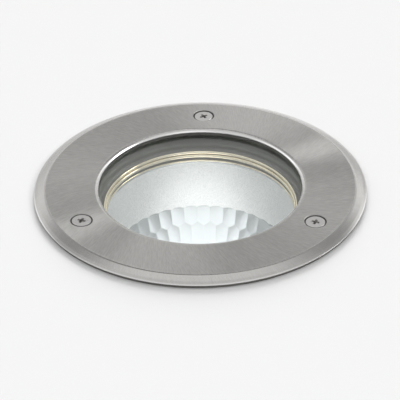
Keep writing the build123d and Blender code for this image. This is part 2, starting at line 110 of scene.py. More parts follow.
def rounded(corners, steps=6, side=SIDE_SHARE):
    """An outline of (radius, height, rounding) corners, each one turned into an arc that touches both sides.

    The arc's centre lies on the corner's bisector, rounding / sin(half the angle) away, and its points turn
    evenly from one touching point to the other. One more point a little way along each side, a share of the
    rounding, keeps the side's shading flat. A rounding of 0 keeps the corner.
    """
    place, rounding = np.split(np.array(corners, float), [2], axis=1)
    back = np.roll(place, 1, axis=0) - place
    ahead = np.roll(place, -1, axis=0) - place
    back /= np.linalg.norm(back, axis=1, keepdims=True)
    ahead /= np.linalg.norm(ahead, axis=1, keepdims=True)
    half = np.arccos(np.sum(back * ahead, axis=1, keepdims=True)) / 2
    bisector = (back + ahead) / np.linalg.norm(back + ahead, axis=1, keepdims=True)
    centre = place + bisector * rounding / np.sin(half)
    start = (place + back * rounding / np.tan(half) - centre)[:, None]
    end = (place + ahead * rounding / np.tan(half) - centre)[:, None]
    beside = side * rounding[:, None]
    turn = (np.pi - 2 * half)[:, None]
    share = np.linspace(0, 1, steps)[None, :, None]
    arc = (np.sin((1 - share) * turn) * start + np.sin(share * turn) * end) / np.sin(turn)
    arc = np.concatenate([start + beside * back[:, None], arc, end + beside * ahead[:, None]], axis=1)
    keep = (rounding > 0) | (np.arange(steps + 2) == 0)
    return (centre[:, None] + arc)[keep]


def turned(outline, centre=(0.0, 0.0), steps=TURN_STEPS, closed=False):
    """Carries a (radius, height) outline round a vertical axis.

    x = centre x + radius cos(turn), y = centre y + radius sin(turn), and the height stays.
    """
    if closed:
        outline = np.vstack([outline, outline[:1]])
    radius, height = np.array(outline).T
    turn = np.linspace(0, 2 * np.pi, steps + 1)[:, None]
    points = (centre[0] + radius * np.cos(turn), centre[1] + radius * np.sin(turn), height)
    return np.stack(np.broadcast_arrays(*points), axis=-1)


def polar(radius, turn, height):
    """Points at a radius, a turn and a height."""
    return np.stack(np.broadcast_arrays(radius * np.cos(turn), radius * np.sin(turn), height), axis=-1)


def drilled_face(inner_r, outer_r, height, hole_r):
    """A flat ring with a round hole at each trim screw.

    Between the screws it is a grid of turn and radius. Round each screw a second grid leads in equal shares
    from the hole's circle to the outline of the sector that the first grid leaves open.
    """
    sector = SECTOR_STEPS * 2 * np.pi / TURN_STEPS
    across = np.linspace(0, sector, SECTOR_STEPS + 1)
    side = np.linspace(outer_r, inner_r, SIDE_STEPS + 1)
    outline_turn = np.concatenate(
        [
            across,
            np.full(SIDE_STEPS, sector),
            across[-2::-1],
            -across[1:],
            np.full(SIDE_STEPS, -sector),
            -across[-2::-1],
        ]
    )
    along = np.ones(SECTOR_STEPS)
    outline_r = np.concatenate(
        [
            [outer_r],
            outer_r * along,
            side[1:],
            inner_r * along,
            inner_r * along,
            side[-2::-1],
            outer_r * along,
        ]
    )
    hole_turn = np.linspace(0, 2 * np.pi, HOLE_STEPS + 1)
    share = np.linspace(0, 1, HOLE_RINGS)[:, None, None]
    plain_steps = TURN_STEPS // len(SCREW_TURNS) - 2 * SECTOR_STEPS
    grids = []
    for screw_turn in SCREW_TURNS:
        plain_turn = screw_turn + sector + np.arange(plain_steps + 1)[:, None] * 2 * np.pi / TURN_STEPS
        grids.append(polar(side, plain_turn, height))
        hole = polar(SCREW_CIRCLE_R, screw_turn, height) + polar(hole_r, screw_turn + hole_turn, 0.0)
        grids.append((1 - share) * hole + share * polar(outline_r, screw_turn + outline_turn, height))
    return grids


def capped(grid):
    """Closes both ends of a tube of points by drawing one more row together in each end's middle."""
    first = np.broadcast_to(grid[:1].mean(axis=1, keepdims=True), grid[:1].shape)
    last = np.broadcast_to(grid[-1:].mean(axis=1, keepdims=True), grid[-1:].shape)
    return np.concatenate([first, grid, last])


def piece(name, grids, material, body, slot, *nodes, crease=30):
    """Makes one object of grids of points, which stands for the nodes and rides on their body.

    The squares of each grid become faces and points that meet are merged, which closes seams and poles.
    Edges that turn by more than the crease angle stay sharp.
    """
    points = []
    faces = []
    count = 0
    for grid in grids:
        rows, columns = grid.shape[:2]
        corner = (np.arange(rows - 1)[:, None] * columns + np.arange(columns - 1)).ravel() + count
        faces.append(np.stack([corner, corner + 1, corner + columns + 1, corner + columns], axis=1))
        points.append(grid.reshape(-1, 3))
        count += rows * columns
    mesh = bpy.data.meshes.new(name)
    mesh.from_pydata((np.vstack(points) * MM).tolist(), [], np.vstack(faces).tolist())
    work = bmesh.new()
    work.from_mesh(mesh)
    bmesh.ops.remove_doubles(work, verts=work.verts, dist=MERGE_DISTANCE * MM)
    bmesh.ops.recalc_face_normals(work, faces=work.faces)
    work.to_mesh(mesh)
    work.free()
    mesh.shade_smooth()
    mesh.set_sharp_from_angle(angle=math.radians(crease))
    mesh.materials.append(material)
    made = bpy.data.objects.new(name, mesh)
    bpy.context.collection.objects.link(made)
    if body:
        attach(made, body)
        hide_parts(*nodes)
    return made


def feed(tree, made, inputs):
    """Links each input that is given another node's output, and sets each one that is given a value."""
    for key, value in inputs.items():
        if isinstance(value, bpy.types.NodeSocket):
            tree.links.new(value, made.inputs[key])
        else:
            made.inputs[key].default_value = value


def node(tree, kind, inputs, **settings):
    """Adds a shader node and returns its first output."""
    made = tree.nodes.new("ShaderNode" + kind)
    for key, value in settings.items():
        setattr(made, key, value)
    feed(tree, made, inputs)
    return made.outputs[0]


def number_group(name, inputs, outputs):
    """An empty shader group with number sockets, and its two end nodes."""
    made = bpy.data.node_groups.new(name, "ShaderNodeTree")
    for key, value in inputs.items():
        made.interface.new_socket(key, in_out="INPUT", socket_type="NodeSocketFloat").default_value = value
    for key in outputs:
        made.interface.new_socket(key, in_out="OUTPUT", socket_type="NodeSocketFloat")
    return made, made.nodes.new("NodeGroupInput").outputs, made.nodes.new("NodeGroupOutput")


def object_place(tree):
    """The point that is being shaded, in the object's own frame."""
    return tree.nodes.new("ShaderNodeTexCoord").outputs["Object"]


def grouped(tree, group, inputs):
    """Adds a group to a material and returns its outputs."""
    made = tree.nodes.new("ShaderNodeGroup")
    made.node_tree = group
    feed(tree, made, inputs)
    return made.outputs


def plain_material(name):
    """A new material, its node tree and its shader."""
    material = bpy.data.materials.new(name)
    material.use_nodes = True
    return material, material.node_tree, material.node_tree.nodes["Principled BSDF"]


# Range of grain plus mottle over which the colour goes from dark to light: painted shade in the grain's
# hollows and painted light on its crests, with the mottle's random drift in tone.
relief_shade_and_tone_range = (0.7, 1.3)
mottle_range = (0.3, 0.7)
gloss_drift = 0.06
grain, grain_in, grain_out = number_group("grain", {"Size": 0.4}, ["Grain", "Mottle"])
grain_scale = node(grain, "Math", {0: 1 / MM, 1: grain_in["Size"]}, operation="DIVIDE")
grain_fine = node(grain, "TexNoise", {"Vector": object_place(grain), "Scale": grain_scale, "Detail": 3.0})
grain_broad = node(grain, "TexNoise", {"Vector": object_place(grain), "Scale": 45.0, "Detail": 2.0})
feed(grain, grain_out, {"Grain": grain_fine, "Mottle": grain_broad})


def spread(tree, value, low, high, start=0.0, end=1.0, **settings):
    """Carries a value over from its own range, low to high, to the range from start to end."""
    inputs = {"Value": value, "From Min": low, "From Max": high, "To Min": start, "To Max": end}
    return node(tree, "MapRange", inputs, **settings)


def mixed(tree, share, first, second):
    """A colour that lies between two others by a share. A number stands for a grey."""
    inputs = {"Fac": share}
    for key, end in (("Color1", first), ("Color2", second)):
        is_link = isinstance(end, bpy.types.NodeSocket)
        inputs[key] = end if is_link else (*np.broadcast_to(end, 3), 1.0)
    return node(tree, "MixRGB", inputs)


def grained(name, dark, light, roughness, size, relief, **constants):
    """A finish with grain, coloured with painted light on its crests and painted shade in its hollows, and
    drifting in tone over the piece.

    Size is the grain's width and relief its depth. Constants are set on the shader as they are.
    """
    material, tree, shader = plain_material(name)
    marks = grouped(tree, grain, {"Size": size})
    # Painted light and shade: the colour is lighter where the grain stands up and darker in its hollows, and
    # the mottle drifts it at random.
    tone = node(tree, "Math", {0: marks["Grain"], 1: marks["Mottle"]}, operation="ADD")
    colour = mixed(tree, spread(tree, tone, *relief_shade_and_tone_range), dark, light)
    gloss = spread(tree, marks["Mottle"], *mottle_range, roughness - gloss_drift, roughness + gloss_drift)
    lift = node(tree, "Bump", {"Height": marks["Grain"], "Distance": relief * MM})
    feed(tree, shader, {"Base Color": colour, "Roughness": gloss, "Normal": lift, **constants})
    return material


def dress(material, *nodes):
    """Gives a finish to pieces that keep their shape from the frame."""
    for name in nodes:
        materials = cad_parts[name].data.materials
        materials.clear()
        materials.append(material)


flange_face_r = flange_r - (1 + SIDE_SHARE) * flange_round
pocket_face_r = pocket_r + (1 + SIDE_SHARE) * pocket_round
outer_wall = rounded(
    [
        (0, body_bottom, 0),
        (body_r, body_bottom, floor_round),
        (body_r, shoulder, shoulder_round),
        (collar_r, collar_low, collar_round),
        (collar_r, flange_low, flange_root),
        (flange_r, flange_low, flange_low_round),
        (flange_r, flange_top, flange_round),
        (flange_face_r, flange_top, 0),
    ]
)
inner_wall = rounded(
    [
        (pocket_face_r, flange_top, 0),
        (pocket_r, flange_top, pocket_round),
        (pocket_r, pocket_floor, 0.3),
        (throat_edge_r, pocket_floor, 0.3),
        (throat_r, throat_edge_low, throat_round),
        (throat_r, throat_bottom, 0.8),
        (ledge_r, throat_bottom, 0.4),
        (ledge_r, ledge, 0.15),
        (bore_r, ledge, 0.15),
        (bore_r, inside_floor, 2.0),
        (0, inside_floor, 0),
    ]
)
fin_heights = np.linspace(fin_top, fin_bottom, FIN_ROWS)[:, None]
fin_reach = np.interp(fin_heights, [fin_bottom, fin_kink], [fin_foot_r, fin_r])
flare_turn = np.radians(np.linspace(180, 270, FLARE_POINTS))
tip_turn = np.radians(np.linspace(90, -90, FIN_TIP_POINTS))
flare_x = body_r + fin_flare * (1 + np.cos(flare_turn))
flare_y = fin_half + fin_flare * (1 + np.sin(flare_turn))
fin_y = np.concatenate([flare_y, fin_half * np.sin(tip_turn), -flare_y[::-1], flare_y[:1]])
fin_x = np.concatenate(
    np.broadcast_arrays(flare_x, fin_reach[..., :1])[:1]
    + [fin_reach - fin_half + fin_half * np.cos(tip_turn)]
    + np.broadcast_arrays(flare_x[::-1], fin_reach)[:1]
    + np.broadcast_arrays(flare_x[:1], fin_reach)[:1],
    axis=1,
)
fins = []
for fin_turn in np.arange(fin_count) * 2 * np.pi / fin_count:
    fin_points = (
        fin_x * math.cos(fin_turn) - fin_y * math.sin(fin_turn),
        fin_x * math.sin(fin_turn) + fin_y * math.cos(fin_turn),
        fin_heights,
    )
    fins.append(capped(np.stack(np.broadcast_arrays(*fin_points), axis=-1)))
screw_places = [SCREW_CIRCLE_R * np.array([math.cos(turn), math.sin(turn)]) for turn in SCREW_TURNS]
bosses = []
for place in screw_places:
    boss = rounded(
        [
            (0, boss_low, 0),
            (boss_r, boss_low, boss_round),
            (boss_r, flange_low + boss_root, 0),
            (0, flange_low + boss_root, 0),
        ]
    )
    hole = [(insert_hole_r, flange_top), (insert_hole_r, insert_hole_low), (0, insert_hole_low)]
    bosses += [turned(boss, place, HOLE_STEPS), turned(hole, place, HOLE_STEPS)]
pillars = []
for place, (pillar_r, pillar_top) in zip(pillar_places, pillar_sizes):
    pillar = rounded(
        [
            (0, inside_floor - pillar_root, 0),
            (pillar_r, inside_floor - pillar_root, 0),
            (pillar_r, pillar_top, pillar_round),
            (0, pillar_top, 0),
        ]
    )
    pillars.append(turned(pillar, place, HOLE_STEPS))
powder_coat = grained("powder_coat", (0.225, 0.235, 0.209), (0.292, 0.304, 0.272), 0.34, 0.5, 0.012)
flange_face = drilled_face(pocket_face_r, flange_face_r, flange_top, insert_hole_r)
piece(
    "housing_casting",
    [turned(outer_wall), turned(inner_wall), *flange_face, *fins, *bosses, *pillars],
    powder_coat,
    "housing",
    "cast_housing",
    "housing",
)

# Thread inserts: three bushes pressed into the flange, which the ring's screws turn in.
# Turned brass, dull from handling.
brass = grained("brass", (0.52, 0.36, 0.13), (0.68, 0.5, 0.22), 0.32, 0.3, 0.004, Metallic=1.0)
dress(brass, "thread_inserts")

# Cable gland: where the supply cable comes in through the floor of the pot.
# Moulded black nylon body, nut and lock nut, with a rubber washer and a rubber seal that grips the cable.
nylon = grained("black_nylon", (0.018, 0.018, 0.019), (0.032, 0.032, 0.033), 0.4, 0.35, 0.008)
rubber = grained("rubber", (0.02, 0.0195, 0.0185), (0.042, 0.041, 0.039), 0.62, 0.25, 0.01)
dress(nylon, "gland_body", "gland_locknut", "gland_nut")
dress(rubber, "gland_washer", "gland_seal")

# Terminals and wiring: a plastic block with brass tubes and clamp screws, and the leads from it.
# The live and neutral leads go to the lampholder, and the earth lead to a tag that is screwed to the pot.
white_plastic = grained("white_plastic", (0.62, 0.61, 0.57), (0.74, 0.73, 0.7), 0.36, 0.6, 0.006)
zinc = grained("zinc_plate", (0.5, 0.51, 0.52), (0.68, 0.69, 0.7), 0.34, 0.5, 0.004, Metallic=1.0)
brown_lead = grained("brown_insulation", (0.11, 0.05, 0.025), (0.16, 0.075, 0.04), 0.4, 0.4, 0.006)
blue_lead = grained("blue_insulation", (0.02, 0.09, 0.36), (0.035, 0.13, 0.46), 0.4, 0.4, 0.006)
green_lead = grained("green_insulation", (0.03, 0.26, 0.05), (0.05, 0.36, 0.08), 0.4, 0.4, 0.006)
dress(white_plastic, "terminal_block")
dress(brass, "terminal_tubes")
dress(zinc, "terminal_screws", "block_screws", "earth_tag", "earth_screw")
dress(brown_lead, "live_lead")
dress(blue_lead, "neutral_lead")
dress(green_lead, "earth_lead")

# Lampholder and its bracket: a glazed porcelain cup on a zinc-plated steel strip between two pillars.
# A nickel-plated shell takes the lamp's thread, and a sprung leaf meets its contact.
porcelain = grained("porcelain", (0.7, 0.69, 0.65), (0.82, 0.81, 0.78), 0.16, 0.9, 0.005)
nickel = grained("nickel_plate", (0.55, 0.53, 0.48), (0.7, 0.68, 0.62), 0.2, 0.4, 0.003, Metallic=1.0)
dress(porcelain, "lampholder_body")
dress(nickel, "lampholder_shell", "lampholder_contact")
dress(zinc, "lampholder_bracket", "holder_screws", "bracket_screws")

# Lamp: an opal globe on a white plastic base, with a ring of light-emitting chips on a board inside.
# The globe glows, and the threaded cap and its contact are nickel-plated, round a black glass button.
bulb_low, bulb_high = (np.array(corner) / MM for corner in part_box("lamp_bulb"))
bulb_r = bulb_high[0]
bulb_centre = bulb_high[2] - bulb_r
bulb_wall = 1.0
BULB_POINTS = 40
BULB_STEPS = 120
glow_strength = 1.85
glow_colour = (0.98, 0.99, 1.0, 1.0)
bulb_outline = []
for wall_r, order in ((bulb_r, 1), (bulb_r - bulb_wall, -1)):
    foot_turn = math.asin((bulb_low[2] - bulb_centre) / wall_r)
    wall_turn = np.linspace(math.pi / 2, foot_turn, BULB_POINTS)[::order]
    wall = np.stack([wall_r * np.cos(wall_turn), bulb_centre + wall_r * np.sin(wall_turn)], axis=1)
    wall[np.abs(wall_turn - math.pi / 2) < 1e-9, 0] = 0
    bulb_outline.append(wall)
opal = grained("opal_glass", (0.78, 0.78, 0.76), (0.86, 0.86, 0.84), 0.3, 1.2, 0.004)
opal_shader = opal.node_tree.nodes["Principled BSDF"]
feed(opal.node_tree, opal_shader, {"Emission Color": glow_colour, "Emission Strength": glow_strength})
globe = turned(np.vstack(bulb_outline), steps=BULB_STEPS)
piece("opal_globe", [globe], opal, "lamp", "opal_globe", "lamp_bulb")
board = grained("board", (0.6, 0.6, 0.58), (0.72, 0.72, 0.7), 0.4, 0.5, 0.004)
button_glass = grained("button_glass", (0.02, 0.02, 0.022), (0.035, 0.035, 0.038), 0.2, 0.5, 0.004)
dress(white_plastic, "lamp_base")
dress(board, "led_board")
dress(nickel, "lamp_cap", "lamp_contact")
dress(button_glass, "lamp_insulator")

# Reflector: a spun aluminium bowl that throws the lamp's light up through the glass.
# Its upper wall is blasted to a satin grey under a polished edge. The bowl below is pressed into three rows
# of bright facets, flat planes with a slight bulge, and every second row stands half a facet round.
facets_around = 40
FACET_STEPS = 12
WALL_ROWS = 9
row_leans = np.radians([15.6, 22.0, 46.0])
row_places = np.array([(54.9, -50.0), (51.2, -63.25), (46.05, -76.0)])
neck = -89.36
neck_step = 0.4
neck_rim = 3.0
neck_wall = 1.6
facet_bulge = 0.045
collar_top_r = 56.9
collar_top = -21.4
collar_draft = 0.08
collar_wall = 1.0
back_bends = ((57.0, -47.5, 12.0), (48.2, -77.0, 8.0))
rim_r = 59.2
rim_top = ledge + 0.5
rim_polish = 1.0
facet_colour = (0.65, 0.678, 0.69)
facet_roughness = 0.26
facet_metal = 0.6
satin_colours = ((0.79, 0.815, 0.81), (1.0, 1.0, 0.995))
satin_roughness = (0.37, 0.47)
satin_relief = 0.03
rim_colour = (0.93, 0.94, 0.93)
rim_roughness = 0.1
wall_margin = 0.05
last_row = len(row_leans) - 1
half_facet = math.pi / facets_around
lean_r = np.cos(row_leans)
lean_z = -np.sin(row_leans)
reach = lean_r * row_places[:, 0] + lean_z * row_places[:, 1]
collar_ground_r = collar_top_r - collar_draft * collar_top


def seam_height(row, off_centre):
    """Height at which a row of facets meets the next, at a share of half a facet from a facet's middle.

    Both facets are planes, lean_r cos(turn from the facet's middle) radius + lean_z height = reach, and the
    turn from the next row's middle is what is left of half a facet.
    """
    upper = lean_r[row] * np.cos(off_centre * half_facet)
    lower = lean_r[row + 1] * np.cos((1 - off_centre) * half_facet)
    across = upper * lean_z[row + 1] - lower * lean_z[row]
    return (upper * reach[row + 1] - lower * reach[row]) / across


def scallop_height(off_centre):
    """Height at which the first row of facets meets the satin wall.

    The wall is a cone, radius = collar_ground_r + collar_draft height, and the facet a plane as above.
    """
    upper = lean_r[0] * np.cos(off_centre * half_facet)
    return (reach[0] - upper * collar_ground_r) / (upper * collar_draft + lean_z[0])


def facet_radius(row, off_centre, height):
    """Radius of a facet's plane at a height and at a share of half a facet from its middle."""
    return (reach[row] - lean_z[row] * height) / (lean_r[row] * np.cos(off_centre * half_facet))


def collar_radius(height):
    """Radius of the satin wall at a height."""
    return collar_top_r + collar_draft * (height - collar_top)


across = np.linspace(-1, 1, FACET_STEPS + 1)
up = np.linspace(0, 1, FACET_STEPS + 1)[:, None]
facets = []
for row in range(last_row + 1):
    off_centre = np.abs(across)
    low = seam_height(row, off_centre) if row < last_row else neck
    high = seam_height(row - 1, 1 - off_centre) if row > 0 else scallop_height(off_centre)
    height = low + up * (high - low)
    radius = facet_radius(row, off_centre, height)
    bulge = facet_bulge * (1 - across**2) * 4 * up * (1 - up)
    outward = radius * np.cos(across * half_facet) - bulge * lean_r[row]
    sideways = radius * np.sin(across * half_facet)
    height = height - bulge * lean_z[row]
    for facet_turn in (np.arange(facets_around) * 2 + row % 2) * half_facet:
        x = outward * math.cos(facet_turn) - sideways * math.sin(facet_turn)
        y = outward * math.sin(facet_turn) + sideways * math.cos(facet_turn)
        facets.append(np.stack([x, y, height], axis=-1))
bowl_turn = np.linspace(0, 2 * np.pi, facets_around * FACET_STEPS + 1)
from_even = np.abs((bowl_turn / half_facet + 1) % 2 - 1)
scallop = scallop_height(from_even)
wall_share = np.linspace(0, 1, WALL_ROWS)[:, None]
wall_height = scallop + wall_share * (rim_top - scallop)
neck_corners = facet_radius(last_row, from_even, neck)
neck_r = neck_corners.max() - neck_step
back_outline = rounded(
    [
        (rim_r, rim_top, 0),
        (rim_r, ledge, 0),
        (collar_radius(ledge) + collar_wall, ledge, 0),
        *back_bends,
        (neck_r + neck_wall, neck, 0),
        (neck_r + neck_wall, neck - neck_rim, 0),
        (neck_r, neck - neck_rim, 0),
        (neck_r, neck, 0),
    ]
)
back_r, back_height = (np.repeat(column[:, None], len(bowl_turn), axis=1) for column in back_outline.T)
shell_r = np.vstack([collar_radius(wall_height), back_r, neck_corners])
shell_height = np.vstack([wall_height, back_height, np.full_like(bowl_turn, neck)])


def axis_distance(tree):
    """Distance of the point that is being shaded from the vertical axis."""
    level = node(tree, "VectorMath", {0: object_place(tree), 1: (1.0, 1.0, 0.0)}, operation="MULTIPLY")
    return node(tree, "VectorMath", {0: level}, operation="LENGTH").node.outputs["Value"]


bright, tree, shader = plain_material("reflector_aluminium")
marks = grouped(tree, grain, {"Size": 0.65})
height_here = node(tree, "SeparateXYZ", {"Vector": object_place(tree)}).node.outputs["Z"]
wall_inputs = {0: height_here, 1: collar_draft, 2: (collar_ground_r - wall_margin) * MM}
wall_here = node(tree, "Math", wall_inputs, operation="MULTIPLY_ADD")
polish_low = (rim_top - rim_polish) * MM
on_wall = node(tree, "Math", {0: axis_distance(tree), 1: wall_here}, operation="GREATER_THAN")
below_rim = node(tree, "Math", {0: height_here, 1: polish_low}, operation="LESS_THAN")
satin = node(tree, "Math", {0: on_wall, 1: below_rim}, operation="MULTIPLY")
on_rim = node(tree, "Math", {0: height_here, 1: polish_low}, operation="GREATER_THAN")
speck = spread(tree, marks["Grain"], 0.38, 0.62)
colour = mixed(tree, satin, facet_colour, mixed(tree, speck, *satin_colours))
gloss = mixed(tree, satin, facet_roughness, spread(tree, speck, 0.0, 1.0, *satin_roughness))
metal = spread(tree, on_rim, 0.0, 1.0, facet_metal, 1.0)
colour = mixed(tree, on_rim, colour, rim_colour)
gloss = mixed(tree, on_rim, gloss, rim_roughness)
relief = node(tree, "Math", {0: marks["Grain"], 1: satin}, operation="MULTIPLY")
lift = node(tree, "Bump", {"Height": relief, "Distance": satin_relief * MM})
feed(tree, shader, {"Base Color": colour, "Roughness": gloss, "Normal": lift, "Metallic": metal})
piece(
    "reflector_bowl",
    [*facets, polar(shell_r, bowl_turn, shell_height)],
    bright,
    "housing",
    "reflector_aluminium",
    "reflector",
    crease=5,
)

# Retaining ring: a sprung ring with two beads, and under it a thin wire that lies on the reflector's rim.
# Gold-anodised aluminium, smooth and bright.
upper_bead = (58.2, -13.84)
upper_bead_r = 1.05
lower_bead = (57.3, -16.0)
lower_bead_r = 1.05
wire_r = 0.65
wire = (57.3, rim_top + wire_r)
ring_back_r = 59.3
BEAD_POINTS = 24


def bead(centre, bead_r, start, end):
    """Part of a bead's outline, from one angle to another in degrees: centre + bead_r (cos, sin)."""
    turn = np.radians(np.linspace(start, end, BEAD_POINTS))
    return np.stack([centre[0] + bead_r * np.cos(turn), centre[1] + bead_r * np.sin(turn)], axis=1)


ring_outline = np.vstack(
    [
        bead(upper_bead, upper_bead_r, 0, 285),
        bead(lower_bead, lower_bead_r, 75, 270),
        [(ring_back_r, lower_bead[1] - lower_bead_r)],
    ]
)
wire_outline = bead(wire, wire_r, 0, 360)
gold = grained("gold_anodised", (0.89, 0.81, 0.61), (0.94, 0.87, 0.68), 0.1, 0.3, 0.001, Metallic=1.0)
gold_rings = [turned(ring_outline, closed=True), turned(wire_outline)]
piece("retaining_ring_beads", gold_rings, gold, "housing", "gold_ring", "retaining_ring")

# Cover glass and its gasket: a clear toughened disc with seamed edges, held in a rubber ring of U section.
# The rubber's lip reaches in under the trim ring, where it shows as a dark line.
glass_low, glass_high = (np.array(corner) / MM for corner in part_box("cover_glass"))
glass_r = glass_high[0]
glass_seam = 0.6
glass_outline = rounded(
    [
        (0, glass_low[2], 0),
        (glass_r - glass_seam, glass_low[2], 0.1),
        (glass_r, glass_low[2] + glass_seam, 0.1),
        (glass_r, glass_high[2] - glass_seam, 0.1),
        (glass_r - glass_seam, glass_high[2], 0.1),
        (0, glass_high[2], 0),
    ],
    steps=3,
)
glass, tree, shader = plain_material("clear_glass")
marks = grouped(tree, grain, {"Size": 3.0})
tint = mixed(tree, marks["Mottle"], (0.975, 0.985, 0.975), (0.99, 0.995, 0.99))
feed(tree, shader, {"Base Color": tint, "Roughness": 0.0, "Transmission Weight": 1.0, "IOR": 1.5})
shadow_ray = node(tree, "LightPath", {}).node.outputs["Is Shadow Ray"]
clear = node(tree, "BsdfTransparent", {"Color": (0.95, 0.96, 0.95, 1)})
through = node(tree, "MixShader", {0: shadow_ray, 1: shader.outputs[0], 2: clear})
feed(tree, tree.nodes["Material Output"], {"Surface": through})
piece("glass_disc", [turned(glass_outline)], glass, "glass", "clear_glass", "cover_glass")
gasket_low, gasket_high = (np.array(corner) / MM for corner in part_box("glass_gasket"))
gasket_lip_r = 61.45
gasket_lip_top = 3.1
gasket_foot_r = 67.2
gasket_wedge = 2.9
gasket_tip = 0.1
groove_gap = 0.05
groove_r = glass_r + groove_gap
gasket_outline = rounded(
    [
        (gasket_foot_r, gasket_low[2], 0.2),
        (gasket_high[0], gasket_low[2], 0.2),
        (gasket_high[0], gasket_high[2], 0.2),
        (gasket_lip_r + gasket_wedge, gasket_high[2], 0.05),
        (gasket_lip_r + gasket_tip, gasket_lip_top, 0.02),
        (gasket_lip_r, gasket_lip_top, 0.02),
        (gasket_lip_r, glass_high[2], 0.05),
        (groove_r, glass_high[2], 0.05),
        (groove_r, glass_low[2], 0.05),
        (gasket_foot_r, glass_low[2], 0.05),
    ],
    steps=4,
)
silicone = grained("silicone", (0.1, 0.098, 0.09), (0.14, 0.137, 0.127), 0.55, 0.25, 0.01)
gasket_ring = turned(gasket_outline, closed=True)
piece("glass_gasket_ring", [gasket_ring], silicone, "glass", "black_rubber", "glass_gasket")

# Flange gasket and ground seal: two flat rubber rings under the trim ring.
# One seals it to the flange, and the other lies on the ground and shows as a dark line under its rim.
seal_high = np.array(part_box("ground_seal")[1]) / MM
seal_inner_r = 89.5
seal_outline = rounded(
    [
        (seal_inner_r, 0, 0.3),
        (seal_high[0], 0, 0.5),
        (seal_high[0], seal_high[2], 0.3),
        (seal_inner_r, seal_high[2], 0.3),
    ]
)
grey_rubber = grained("grey_rubber", (0.13, 0.127, 0.117), (0.185, 0.181, 0.167), 0.55, 0.25, 0.01)
seal_ring = turned(seal_outline, closed=True)
piece("ground_seal_strip", [seal_ring], grey_rubber, "trim", "black_rubber", "ground_seal")
dress(rubber, "flange_gasket")

# Trim ring: the steel plate that people walk on, with a bevelled rim, a sloping lip and three countersinks.
# Stainless steel, brushed by hand with a turning pad, so that its strokes lean from the radius like a spiral.
# Its lip and its very edge are polished.
trim_low, trim_high = (np.array(corner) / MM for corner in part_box("trim_ring"))
trim_r = trim_high[0]
trim_top = trim_high[2]
plate_bottom = trim_low[2]
plate_top = trim_top + 0.8
rim_edge = 0.3
rim_round = 0.15
rim_flat = 0.2
plate_side = 0.03
bevel_break = (97.9, 3.44)
bevel_round = 8.0
crease_r = trim_r - 6.1
crease_round = 3.4
crease_flat = 1.6
opening_r = 61.3
lip_slope_r = 62.7
lip_edge = 3.65
lip_low = 3.4
lip_chamfer = 3.0
lip_round = 3.6
lip_lean = math.atan2(plate_top - lip_edge, lip_slope_r - opening_r)
lip_flat = 0.2
lip_face_r = lip_slope_r + lip_round * math.tan(lip_lean / 2) + lip_flat
sink_r = 6.6
sink_edge = 0.3
sink_height = trim_top - 0.4
sink_low_r = sink_r - (sink_height - plate_bottom)
stroke_swirl = math.radians(20)
stroke_count = 150.0
stroke_relief = 0.006
stroke_gloss = 0.05
bevel_roughness = 0.16
polish_roughness = 0.12
polish_width = 1.3
rim_polish_reach = (0.8, 0.4)
bevel_reach = (1.3, 0.7)
polish_colour = (0.85, 0.845, 0.835)
rim_outline = rounded(
    [
        (crease_r - crease_flat, plate_top, 0),
        (crease_r, plate_top, crease_round),
        (*bevel_break, bevel_round),
        (trim_r, plate_bottom + rim_edge, rim_round),
        (trim_r, plate_bottom, 0.05),
        (trim_r - rim_flat, plate_bottom, 0),
    ],
    side=plate_side,
)
lip_outline = rounded(
    [
        (lip_face_r, plate_top, 0),
        (lip_slope_r, plate_top, lip_round),
        (opening_r, lip_edge, 0.3),
        (opening_r, lip_low, 0.05),
        (opening_r + lip_chamfer, plate_bottom, 0),
    ],
    steps=12,
    side=plate_side,
)
sink_outline = [
    (sink_r + sink_edge, plate_top),
    (sink_r, plate_top - sink_edge),
    (sink_r, sink_height),
    (sink_low_r, plate_bottom),
]
sinks = [turned(sink_outline, place, HOLE_STEPS) for place in screw_places]
brushing, _, brushing_out = number_group("brushing", {}, ["Strokes", "Bands", "Radius"])
around = node(brushing, "SeparateXYZ", {"Vector": object_place(brushing)}).node.outputs
turn_here = node(brushing, "Math", {0: around["Y"], 1: around["X"]}, operation="ARCTAN2")
radius_here = axis_distance(brushing)
log_radius = node(brushing, "Math", {0: radius_here, 1: math.e}, operation="LOGARITHM")
stroke_turn = node(
    brushing, "Math", {0: log_radius, 1: -math.tan(stroke_swirl), 2: turn_here}, operation="MULTIPLY_ADD"
)
stroke_x = node(brushing, "Math", {0: stroke_turn}, operation="COSINE")
stroke_y = node(brushing, "Math", {0: stroke_turn}, operation="SINE")
for output, count, length, detail in (("Strokes", stroke_count, 200.0, 4.0), ("Bands", 7.0, 8.0, 3.0)):
    place = node(brushing, "CombineXYZ", {"X": stroke_x, "Y": stroke_y, "Z": radius_here})
    place = node(brushing, "VectorMath", {0: place, 1: (count, count, length)}, operation="MULTIPLY")
    noise = node(brushing, "TexNoise", {"Vector": place, "Scale": 1.0, "Detail": detail, "Roughness": 0.6})
    feed(brushing, brushing_out, {output: noise})
feed(brushing, brushing_out, {"Radius": radius_here})


